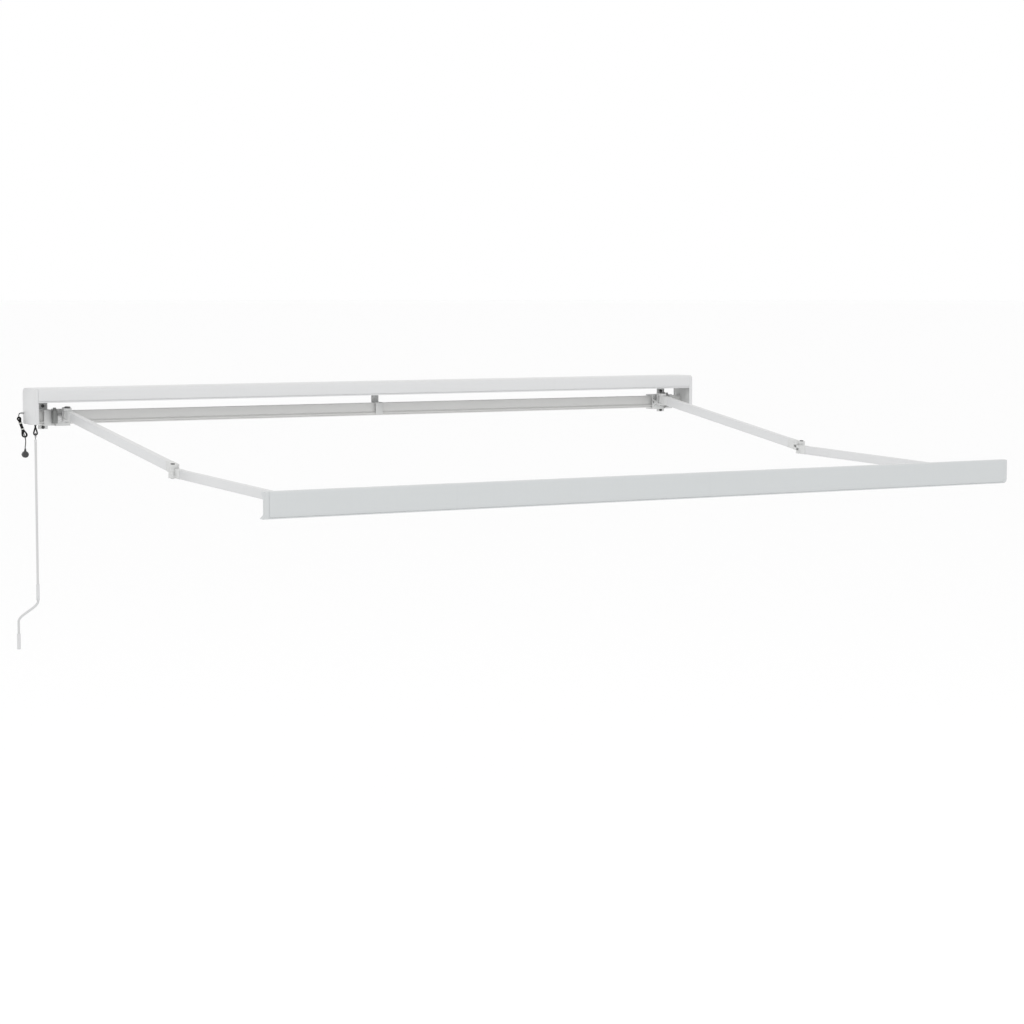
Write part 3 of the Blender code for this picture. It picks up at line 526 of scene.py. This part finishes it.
def wired(points, radius, sides=12, closed=False):
    """Round wire through the points, as a mesh."""
    curve = bpy.data.curves.new("wire", "CURVE")
    curve.dimensions = "3D"
    spline = curve.splines.new("POLY")
    spline.points.add(len(points) - 1)
    for target, p in zip(spline.points, points):
        target.co = (*p, 1.0)
    spline.use_cyclic_u = closed
    curve.bevel_depth = radius
    curve.bevel_resolution = sides // 4
    curve.use_fill_caps = not closed
    obj = bpy.data.objects.new("wire", curve)
    bpy.context.scene.collection.objects.link(obj)
    graph = bpy.context.evaluated_depsgraph_get()
    mesh = bpy.data.meshes.new_from_object(obj.evaluated_get(graph))
    bpy.data.objects.remove(obj, do_unlink=True)
    mesh.shade_smooth()
    mesh.set_sharp_from_angle(angle=math.radians(50))
    return mesh


def together(*meshes):
    """Several meshes as one."""
    bm = bmesh.new()
    for mesh in meshes:
        bm.from_mesh(mesh)
    result = bpy.data.meshes.new("joined")
    bm.to_mesh(result)
    bm.free()
    return result


def smooth_line(stops, spacing):
    """Evenly spread points on a smooth curve through the stops."""
    points = []
    last = len(stops) - 1
    for i in range(last):
        before, a, b, after = stops[max(i - 1, 0)], stops[i], stops[i + 1], stops[min(i + 2, last)]
        steps = max(1, round((b - a).length / spacing))
        for k in range(steps):
            t = k / steps
            points.append(0.5 * (2 * a + (b - before) * t + (2 * before - 5 * a + 4 * b - after) * t * t
                                 + (3 * a - before - 3 * b + after) * t ** 3))
    return points + [stops[-1]]


# ---------------------------------------------------------------- power cable
CABLE_R = 0.0024
CABLE_STEP = 0.0028                 # between the points of its route
GLAND_FACE = Vector((-2.0103, -0.014, 0.024))
HANK_TOP = Vector((-2.036, -0.030, 0.008))
HANK_BOTTOM = Vector((-1.998, -0.030, -0.100))
LAYER = 0.00485                     # the turns lie this far apart
FIRST_LAYER = -0.0200
TURNS = 4                           # whole turns, before the last strand down
TOP_LOOP, WAIST, BOTTOM_LOOP = 0.0079, 0.00255, 0.0111
WAIST_FROM, WAIST_TO = 0.028, 0.068
TIES_AT = (0.0343, 0.0664)
TIE_ROOM, TIE_THICKNESS, TIE_HALF_WIDTH = 0.0002, 0.0014, 0.0024
LOCK_SIZE = (0.0052, 0.0040, 0.0058)
UNEVEN = (0.0, 0.0030, 0.0006, 0.0034, 0.0016, 0.0016)   # how far each top loop sits below the first
PLUG = Vector((-2.004, -0.038, -0.1855))
PLUG_R, PLUG_DEPTH = 0.0165, 0.020

lean = HANK_BOTTOM - HANK_TOP
DOWN = lean.normalized()
ASIDE = Vector((DOWN.z, 0.0, -DOWN.x))
TOP_CENTRE = CABLE_R + TOP_LOOP
BOTTOM_CENTRE = lean.length - CABLE_R - BOTTOM_LOOP


def in_hank(aside, down, y):
    place = HANK_TOP + ASIDE * aside + DOWN * down
    return Vector((place.x, y, place.z))


def half_apart(down, top):
    """Half the distance between the hank's two columns of strands, under a top loop centred at top."""
    if down < WAIST_FROM:
        share, wide = (WAIST_FROM - down) / (WAIST_FROM - top), TOP_LOOP
    elif down > WAIST_TO:
        share, wide = (down - WAIST_TO) / (BOTTOM_CENTRE - WAIST_TO), BOTTOM_LOOP
    else:
        return WAIST
    return WAIST + (wide - WAIST) * (1 - math.cos(math.pi * min(share, 1.0))) / 2


def one_turn(number):
    """A turn of the hank as (aside, down): down one column and back up the other."""
    turn = []
    steps = 12
    first, last = TOP_CENTRE + UNEVEN[number], TOP_CENTRE + UNEVEN[number + 1]
    bottom = BOTTOM_CENTRE - UNEVEN[number + 1] / 3
    for k in range(steps):
        down = first + (bottom - first) * k / steps
        turn.append((half_apart(down, first), down))
    for k in range(9):
        angle = math.pi * k / 9
        turn.append((BOTTOM_LOOP * math.cos(angle), bottom + BOTTOM_LOOP * math.sin(angle)))
    for k in range(steps):
        down = bottom - (bottom - last) * k / steps
        turn.append((-half_apart(down, last), down))
    for k in range(8):
        angle = math.pi * k / 8
        turn.append((-TOP_LOOP * math.cos(angle), last - TOP_LOOP * math.sin(angle)))
    return turn


def cable_route():
    """Out of the gland, down into the hank, four turns and a last strand, and down to the plug."""
    stops = [GLAND_FACE + Vector(step) for step in (
        (0.0, 0.0, 0.0), (-0.0060, 0.0, 0.0), (-0.0119, -0.0010, -0.0016), (-0.0161, -0.0026, -0.0060))]
    stops += [in_hank(-0.0084, 0.0002, -0.0178), in_hank(-0.0075, 0.0080, -0.0184),
              in_hank(-0.0045, 0.0180, -0.0188)]
    walk = []
    for number in range(TURNS + 1):
        turn = one_turn(number)
        kept = 10 if number == TURNS else len(turn)
        walk += [(a, d, number + k / len(turn)) for k, (a, d) in enumerate(turn[:kept])]
    covered = 3                         # points of the first column that the entering strand passes over
    stops += [in_hank(a, d, FIRST_LAYER - LAYER * at) for a, d, at in walk[covered:]
              if at < TURNS or d < WAIST_TO]
    front = FIRST_LAYER - LAYER * (TURNS + 0.22)
    stops += [in_hank(0.0038, 0.080, front), in_hank(0.0054, 0.092, front),
              in_hank(0.0058, 0.104, front + 0.0005), in_hank(0.0054, 0.1152, -0.0393),
              Vector((-2.0010, -0.0386, -0.1165)), Vector((-2.0022, -0.0385, -0.1350)),
              PLUG + Vector((0.0, -0.0003, PLUG_R + 0.023)), PLUG + Vector((0.0, 0.0, PLUG_R + 0.0120))]
    return smooth_line(stops, CABLE_STEP)


def make_cable():
    route = cable_route()
    curve = bpy.data.curves.new("power_cable_run", "CURVE")
    curve.dimensions = "3D"
    spline = curve.splines.new("POLY")
    spline.points.add(len(route) - 1)
    for target, p in zip(spline.points, route):
        target.co = (*p, 1.0)
    curve.bevel_depth = CABLE_R
    curve.bevel_resolution = 3
    curve.use_fill_caps = True
    curve.materials.append(FINISHES["cable_black"])
    cable = bpy.data.objects.new("power_cable_run", curve)
    bpy.context.scene.collection.objects.link(cable)
    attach(cable, "root")
    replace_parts(cable, "power_cable", "cable_hank", "cable_drop")
    return cable, route


def bridged(loops):
    """Closed skin through loops of equal length, the last one joined back to the first."""
    bm = bmesh.new()
    rings = [[bm.verts.new(p) for p in loop] for loop in loops]
    for a, b in zip(rings, rings[1:] + rings[:1]):
        for k in range(len(a)):
            nxt = (k + 1) % len(a)
            bm.faces.new((a[k], a[nxt], b[nxt], b[k]))
    bmesh.ops.remove_doubles(bm, verts=bm.verts, dist=1e-6)
    bmesh.ops.recalc_face_normals(bm, faces=bm.faces)
    mesh = bpy.data.meshes.new("bridged")
    bm.to_mesh(mesh)
    bm.free()
    return mesh


def make_tie(name, down, route):
    """Flat nylon band round the hank's waist, with its square lock on the front."""
    near = [p for p in route if abs((p - HANK_TOP).dot(DOWN) - down) < 2 * TIE_HALF_WIDTH + TIE_ROOM]
    asides = [(p - HANK_TOP).dot(ASIDE) for p in near]
    reach = CABLE_R + TIE_ROOM
    half_wide = max(abs(a) for a in asides) + reach
    low, high = min(p.y for p in near) - reach, max(p.y for p in near) + reach
    middle, half_deep = (low + high) / 2, (high - low) / 2
    band, shoulder = TIE_HALF_WIDTH, TIE_THICKNESS - 0.0003
    loops = []
    for grow, at in ((0.0, -band), (shoulder, -band), (TIE_THICKNESS, -band * 0.6),
                     (TIE_THICKNESS, band * 0.6), (shoulder, band), (0.0, band)):
        corners = [(sx * (half_wide + grow), sy * (half_deep + grow), 0.0030 + grow)
                   for sx, sy in ((-1, -1), (1, -1), (1, 1), (-1, 1))]
        loops.append([in_hank(p.x, down + at, middle + p.y) for p in rounded(corners, 4)])
    lock = bmesh.new()
    bmesh.ops.create_cube(lock, size=1.0)
    edges = list(lock.edges)
    lock.transform(Matrix.Diagonal((*LOCK_SIZE, 1.0)))
    bmesh.ops.bevel(lock, geom=edges, offset=0.0007, segments=2, profile=0.5, affect="EDGES")
    lock.transform(Matrix((
        (ASIDE.x, 0.0, DOWN.x, 0.0), (0.0, 1.0, 0.0, 0.0), (ASIDE.z, 0.0, DOWN.z, 0.0),
        (0.0, 0.0, 0.0, 1.0))))
    lock.transform(Matrix.Translation(in_hank(0.0012, down, middle - half_deep - 0.0012)))
    block = bpy.data.meshes.new("lock")
    lock.to_mesh(block)
    lock.free()
    mesh = together(bridged(loops), block)
    mesh.shade_smooth()
    mesh.set_sharp_from_angle(angle=math.radians(40))
    return keep(name, mesh, "cable_tie")


def make_plug():
    """Round two-pin plug: rimmed disc, ribbed sleeve on top and two pins towards the wall."""
    half = PLUG_DEPTH / 2
    facing = Matrix.Translation(PLUG) @ Matrix.Rotation(math.radians(90), 4, "X")
    profile = [(0.0, half - 0.0016), (0.0105, half - 0.0016), (0.0118, half - 0.0008), (0.0126, half),
               (PLUG_R - 0.0030, half), (PLUG_R - 0.0012, half - 0.0006), (PLUG_R - 0.0002, half - 0.0026),
               (PLUG_R, half - 0.0060), (PLUG_R - 0.0006, half - 0.0090), (PLUG_R - 0.0006, -half + 0.0070),
               (PLUG_R, -half + 0.0050), (PLUG_R, -half + 0.0014), (PLUG_R - 0.0008, -half + 0.0004),
               (PLUG_R - 0.0022, -half), (0.0, -half)]
    disc = turned(profile, facing, 48)
    foot = PLUG + Vector((0.0, 0.0, PLUG_R - 0.0020))
    sleeve = turned([(0.0, 0.0), (0.0064, 0.0), (0.0060, 0.0045), (0.0049, 0.0100), (0.0040, 0.0152),
                     (0.0034, 0.0158), (0.0024, 0.0160)], Matrix.Translation(foot), 28)
    ribs = grown(RIBS, [(0.0, 0.0, 0.0)], [("Count", 5), ("Spacing", 0.0024), ("Radius", 0.0056),
                                           ("Taper", 0.085), ("Wire", 0.00085)])
    ribs.transform(Matrix.Translation(foot + Vector((0.0, 0.0, 0.0042))))
    head = keep("plug_head", together(disc, sleeve, ribs), "plug", PLUG_GREY)
    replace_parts(head, "plug")
    pins = []
    for aside in (-0.0095, 0.0095):
        place = Matrix.Translation(PLUG + Vector((aside, half - 0.001, 0.0))) @ Matrix.Rotation(
            math.radians(-90), 4, "X")
        pins.append(turned([(0.0, 0.0), (0.0024, 0.0), (0.0024, 0.0185), (0.0021, 0.0193), (0.0014, 0.0198),
                            (0.0, 0.0200)], place, 20))
    prongs = keep("plug_pins", together(*pins), "plug", PIN_METAL)
    return head, prongs


cable, route = make_cable()
tie_upper = make_tie("cable_tie_upper", TIES_AT[0], route)
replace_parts(tie_upper, "cable_tie")
tie_lower = make_tie("cable_tie_lower", TIES_AT[1], route)
plug_head, plug_pins = make_plug()
cable_length = sum((b - a).length for a, b in zip(route, route[1:]))


# ---------------------------------------------------------------- gear eye and crank
CRANK_X, CRANK_Y = -1.971, -0.100
EYE_TOP, HOOK_AXIS = -0.036, -0.084  # the hook turns about the middle of the eye's lower bar
FERRULE_BOTTOM = -0.1215


def make_gear_eye():
    """Forged eye of round bar, tear-drop shaped, on the gear's short shaft."""
    wire = 0.0040
    radius = 0.0092
    centre = HOOK_AXIS + radius
    apex = EYE_TOP - wire * 1.6
    spread = math.asin(radius / (apex - centre))
    ring = []
    for k in range(33):
        angle = math.pi - spread + (math.pi + 2 * spread) * k / 32
        ring.append(Vector((CRANK_X + radius * math.cos(angle), CRANK_Y, centre + radius * math.sin(angle))))
    for share in (0.25, 0.5, 0.75, 0.94):
        ring.append(ring[32].lerp(Vector((CRANK_X, CRANK_Y, apex)), share))
    for share in (0.94, 0.75, 0.5, 0.25):
        ring.append(ring[0].lerp(Vector((CRANK_X, CRANK_Y, apex)), share))
    shaft = turned([(0.0, -0.0075), (0.0040, -0.0070), (0.0056, -0.0020), (0.0060, 0.0015), (0.0060, 0.0060),
                    (0.0052, 0.0068), (0.0044, 0.0068), (0.0044, 0.0250), (0.0, 0.0252)],
                   Matrix.Translation((CRANK_X, CRANK_Y, EYE_TOP)), 24)
    eye = keep("gear_eye_forging", together(wired(ring, wire, 16, closed=True), shaft), "gear_eye", EYE_BLACK)
    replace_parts(eye, "gear_eye")


def make_crank():
    """Sleeve and grip with broken edges, a ferrule on the rod's top, and the coats of rod and hook."""
    eased("crank_sleeve", 0.0010)
    eased("crank_grip", 0.0012)
    ferrule = turned([(0.0, 0.0), (0.0070, 0.0), (0.0073, 0.0012), (0.0073, 0.0105), (0.0064, 0.0125),
                      (0.0040, 0.0150), (0.0, 0.0152)],
                     Matrix.Translation((CRANK_X, CRANK_Y, FERRULE_BOTTOM)), 28)
    keep("crank_ferrule", ferrule, "crank_rod", FINISHES["crank_plastic"])
    coat("crank_rod", ROD_WHITE)
    coat("crank_hook", HOOK_STEEL)


make_gear_eye()
make_crank()


# ---------------------------------------------------------------- hood, bars and caps
HOOD_END, FRONT_BAR_END, TORSION_BAR_END = 1.9797, 1.992, 1.9857
HOOD_SHEET, FRONT_BAR_WALL, GROOVE_WALL = 0.002, 0.0025, 0.0015


def make_hood():
    """Rolled hood sheet: a hollow bead along its lower edge and hems turned in at both ends."""
    half = HOOD_SHEET / 2
    front, top, bottom = -0.177 + half, 0.152 - half, 0.0795 + half
    bead_low, bead_high, bead_back = bottom + 0.0040, bottom + 0.0086, front + 0.0036
    path = rounded([(-0.0135, 0.1180, 0), (-0.0040, 0.1180, 0.0015), (-0.0040, top, 0.006),
                    (front, top, 0.018), (front, bead_high, 0.0012), (bead_back, bead_high, 0.0012),
                    (bead_back, bead_low, 0.0012), (front, bead_low, 0.0012), (front, bottom, 0.0018),
                    (front + 0.0120, bottom, 0.0014), (front + 0.0120, bottom + 0.0065, 0)], 6, closed=False)
    sheet = extruded(sheet_section(path, HOOD_SHEET), -HOOD_END, HOOD_END)
    hood = keep("hood_cover_sheet", sheet, "hood_cover")
    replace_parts(hood, "hood_cover")


def make_front_bar():
    """Front bar: face, upper lip with its cloth groove, curved foot with a valance slot, lower lip."""
    half = FRONT_BAR_WALL / 2
    front, top, bottom, back, lip = -2.890 + half, -0.185 - half, -0.3025 + half, -2.850 - half, -2.836 - half
    foot, slot_from, slot_to = 0.0228, 42.0, 55.0

    def on_foot(degrees, inwards=0.0):
        turn = math.radians(degrees)
        reach = foot - inwards
        return front + foot - reach * math.cos(turn), bottom + foot - reach * math.sin(turn)

    slot_round, slot_depth = 0.0014, 0.0060
    path = rounded([(back + 0.0002, top - 0.0130, 0), (back, top, 0.002), (front, top, 0.0062)]
                   + [(*on_foot(slot_from * k / 6), 0) for k in range(6)]
                   + [(*on_foot(slot_from), slot_round), (*on_foot(slot_from, slot_depth), slot_round),
                      (*on_foot(slot_to, slot_depth), slot_round), (*on_foot(slot_to), slot_round)]
                   + [(*on_foot(slot_to + (90.0 - slot_to) * k / 5), 0) for k in range(1, 6)]
                   + [(lip, bottom, 0.0015), (lip, bottom + 0.0065, 0)], 6, closed=False)
    face = extruded(sheet_section(path, FRONT_BAR_WALL), -FRONT_BAR_END, FRONT_BAR_END)
    groove_path = rounded([(-2.8700, top - 0.0014, 0), (-2.8700, top - 0.0085, 0.0012),
                           (-2.8610, top - 0.0085, 0.0012), (-2.8610, top - 0.0014, 0)], 4, closed=False)
    groove = extruded(sheet_section(groove_path, GROOVE_WALL), -FRONT_BAR_END, FRONT_BAR_END)
    bar = keep("front_bar_section", together(face, groove), "front_bar", FRONT_WHITE)
    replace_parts(bar, "front_bar")


def make_torsion_bar():
    """Box bar with a drip lip along its lower front edge and a narrow groove under the lip."""
    back, face, lip, high = -0.030, -0.074, -0.084, 0.034
    wall, groove_in, groove_top, groove_low = 0.003, 0.0055, -0.0252, -0.0290
    outer = [(back, -high, 0.003), (back, high, 0.003), (face, high, 0.002), (face, -0.012, 0.0008),
             (lip, -0.021, 0.001), (lip, groove_top, 0.0006), (lip + groove_in, groove_top, 0.0006),
             (lip + groove_in, groove_low, 0.0006), (lip + 0.0018, groove_low, 0.0006),
             (lip + 0.006, -high, 0.002)]
    outer = rounded(outer, 3)
    inner = [Vector((min(max(p.x, face + wall), back - wall), min(max(p.y, wall - high), high - wall)))
             for p in outer]
    end = TORSION_BAR_END
    loops = [[Vector((x, p.x, p.y)) for p in outline]
             for outline, x in ((outer, -end), (outer, end), (inner, end), (inner, -end))]
    mesh = bridged(loops)
    mesh.shade_smooth()
    mesh.set_sharp_from_angle(angle=math.radians(32))
    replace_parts(keep("torsion_bar_section", mesh, "torsion_bar"), "torsion_bar")


make_hood()
make_front_bar()
make_torsion_bar()
# The strap takes the coat that is darkened with painted shade.
eased("hood_support", 0.0005, STRAP_PAINTED_SHADE)
eased("cable_gland", 0.0008, GLAND_GREY)
eased("motor_head", 0.0010)
eased("roller_end_plug", 0.0010)

EDGES_OF_PAIRS = {
    "end_cap": 0.0012, "roller_bracket": 0.0008, "front_bar_cap": 0.0008, "wall_bracket": 0.0010,
    "bracket_keeper": 0.0008, "arm_bracket": 0.0010, "arm_fork": 0.0010, "pitch_adjuster": 0.0008,
    "shoulder_pin": 0.0008, "upper_arm_root": 0.0012, "upper_arm_elbow": 0.0012, "forearm_elbow": 0.0012,
    "forearm_wrist": 0.0012, "elbow_pin": 0.0006, "wrist_bracket": 0.0010, "wrist_pin": 0.0008,
    "upper_arm_tube": 0.0004, "forearm_tube": 0.0004,
}
OWN_FINISH = {"front_bar_cap": FRONT_WHITE, "pitch_adjuster": ADJUSTER_GREY, "shoulder_pin": CAP_GREY}
for side in ("left", "right"):
    for piece, width in EDGES_OF_PAIRS.items():
        eased(f"{piece}_{side}", width, OWN_FINISH.get(piece))

coat("roller_tube", FINISHES["zinc"])


# ---------------------------------------------------------------- springs and screws
SHOULDER = Vector((0.0, -0.140, 0.016))
WRIST = Vector((0.0, -2.820, -0.2431))
TILT = math.atan2(SHOULDER.z - WRIST.z, SHOULDER.y - WRIST.y)
FOLD = Matrix.Translation(SHOULDER) @ Matrix.Rotation(TILT, 4, "X")
ARM = (SHOULDER - WRIST).length / 2
PIN_X, ELBOW_IN, UPPER_DROP = 1.815, 0.0175, 0.0692
SPRING_FROM_SHOULDER, SPRING_FROM_ELBOW = 0.12, 0.42
BOLT_SEAT = -0.0063                 # outer face of the wall brackets' plates
PLATE_SCREW_X, PLATE_SCREW_Y, PLATE_SCREW_HEIGHTS = 1.9860, -0.030, (0.128, 0.006)


def make_spring(side, label):
    """Tension spring inside the upper arm, along the arm's middle."""
    ends = []
    for distance in (SPRING_FROM_SHOULDER, ARM - SPRING_FROM_ELBOW):
        share = distance / ARM
        ends.append(FOLD @ Vector((side * (PIN_X - ELBOW_IN * share), -distance, -UPPER_DROP * share)))
    run = ends[1] - ends[0]
    coil = grown(SPRING, [(0.0, 0.0, 0.0)], [("Turns", 210.0), ("Radius", 0.0078), ("Length", run.length),
                                             ("Wire", 0.0015)])
    coil.transform(Matrix.Translation(ends[0]) @ run.to_track_quat("Z", "Y").to_matrix().to_4x4())
    spring = keep("arm_spring_coil_" + label, coil, "arm_spring_" + label)
    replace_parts(spring, "arm_spring_" + label)


def make_wall_bolts(label):
    """Hex bolts with flanges that hold the wall bracket."""
    for node in (f"wall_bolt_{label}_lower", f"wall_bolt_{label}_upper"):
        low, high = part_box(node)
        seat = Vector(((low.x + high.x) / 2, BOLT_SEAT, (low.z + high.z) / 2))
        head = grown(SCREWS, [seat], [("Radius", 0.0066), ("Height", 0.0080),
                                      ("Turn", (math.radians(90), 0.0, 0.0))])
        shank = turned([(0.0, 0.0), (0.0050, 0.0), (0.0050, 0.0055), (0.0, 0.0055)],
                       Matrix.Translation((seat.x, BOLT_SEAT - 0.0001, seat.z)) @ Matrix.Rotation(
                           math.radians(-90), 4, "X"), 20)
        bolt = keep(node + "_finished", together(head, shank), node)
        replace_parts(bolt, node)


def make_plate_screws(side, label):
    """Two screws that hold the roller's bearing plate in the end cap."""
    seats = [Vector((side * PLATE_SCREW_X, PLATE_SCREW_Y, z)) for z in PLATE_SCREW_HEIGHTS]
    mesh = grown(SCREWS, seats, [("Radius", 0.0048), ("Height", 0.0042),
                                 ("Turn", (0.0, math.radians(-90 * side), 0.0))])
    keep("plate_screws_" + label, mesh, "wall_bolt_" + label + "_upper", body="root")


for side, label in ((-1, "left"), (1, "right")):
    make_spring(side, label)
    make_wall_bolts(label)
    make_plate_screws(side, label)


# ---------------------------------------------------------------- studio
FLOOR_BELOW = -2.45                 # the awning hangs at about door-head height
FLOOR_RADIUS = 600.0
LAMP_PLACE, LAMP_SIZE, LAMP_WATTS = Vector((-3.5, -6.5, 7.5)), (9.0, 6.0), 110.0
AWNING_MIDDLE = Vector((0.0, -1.2, 0.0))


def make_studio():
    """White floor below, white sky and one broad soft lamp."""
    bm = bmesh.new()
    bmesh.ops.create_circle(bm, cap_ends=True, segments=64, radius=FLOOR_RADIUS)
    mesh = bpy.data.meshes.new("floor")
    bm.to_mesh(mesh)
    bm.free()
    mesh.transform(Matrix.Translation((0.0, 0.0, FLOOR_BELOW)))
    paper = Finish("studio_paper", roughness=0.9)
    paper.set("Base Color", (0.98, 0.98, 0.98, 1.0))
    mesh.materials.append(paper.material)
    floor = bpy.data.objects.new("floor", mesh)
    bpy.context.scene.collection.objects.link(floor)

    world = bpy.data.worlds.new("studio")
    world.use_nodes = True
    world.node_tree.nodes["Background"].inputs["Color"].default_value = (1.0, 1.0, 1.0, 1.0)
    world.node_tree.nodes["Background"].inputs["Strength"].default_value = 1.0
    bpy.context.scene.world = world

    data = bpy.data.lights.new("soft_lamp", "AREA")
    data.shape = "RECTANGLE"
    data.size, data.size_y = LAMP_SIZE
    data.energy = LAMP_WATTS
    lamp = bpy.data.objects.new("soft_lamp", data)
    lamp.location = LAMP_PLACE
    aim = AWNING_MIDDLE - lamp.location
    lamp.rotation_euler = aim.to_track_quat("-Z", "Y").to_euler()
    bpy.context.scene.collection.objects.link(lamp)
    bpy.context.scene.view_settings.view_transform = "Standard"


make_studio()
